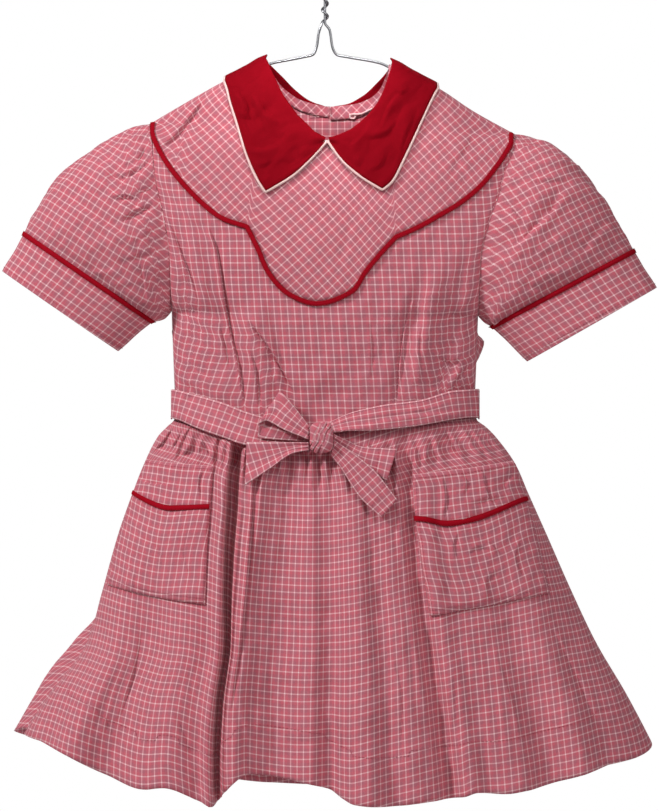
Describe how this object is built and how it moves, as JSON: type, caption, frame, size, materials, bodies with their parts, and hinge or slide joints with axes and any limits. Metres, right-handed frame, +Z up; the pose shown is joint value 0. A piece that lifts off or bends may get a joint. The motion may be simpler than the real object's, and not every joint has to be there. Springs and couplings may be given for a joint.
{
  "type": "school uniform dress on a wire hanger",
  "caption": "Child's short-sleeved school dress in a small check, with a pointed collar, scalloped yoke, patch pockets and a tied belt, hanging on a plain wire hanger.",
  "frame": {"origin": "inner top of the hanger's hook, where a rod would rest", "axes": "+Z up along the hanging dress, -Y out of the dress's front, +X to the right as seen from the front"},
  "size_m": [0.576, 0.1799, 0.7804],
  "materials": {
    "check_cotton": "woven cotton in a small red, mauve and white check",
    "red_cotton": "plain woven crimson cotton",
    "red_tape": "crimson bias tape",
    "pale_piping": "pale corded piping",
    "button": "pale, slightly glossy",
    "wire": "drawn wire"
  },
  "bodies": {
    "root": {"belt": "check_cotton", "belt_knot": "check_cotton", "bodice_back_left": "check_cotton", "bodice_back_right": "check_cotton", "bodice_front": "check_cotton", "bow_end_right": "check_cotton", "bow_loop_left": "check_cotton", "bow_tail_left": "check_cotton", "bow_tail_right": "check_cotton", "button_1": "button", "button_2": "button", "button_3": "button", "button_4": "button", "collar_left": "red_cotton", "collar_piping_left": "pale_piping", "collar_piping_right": "pale_piping", "collar_right": "red_cotton", "cuff_left": "check_cotton", "cuff_right": "check_cotton", "cuff_trim_left": "red_tape", "cuff_trim_right": "red_tape", "hanger_wire": "wire", "neck_facing_left": "check_cotton", "neck_facing_right": "check_cotton", "pocket_band_left": "check_cotton", "pocket_band_right": "check_cotton", "pocket_left": "check_cotton", "pocket_right": "check_cotton", "pocket_trim_left": "red_tape", "pocket_trim_right": "red_tape", "skirt_back": "check_cotton", "skirt_front": "check_cotton", "sleeve_left": "check_cotton", "sleeve_right": "check_cotton", "yoke_front": "check_cotton", "yoke_trim": "red_tape"}
  },
  "joints": []
}
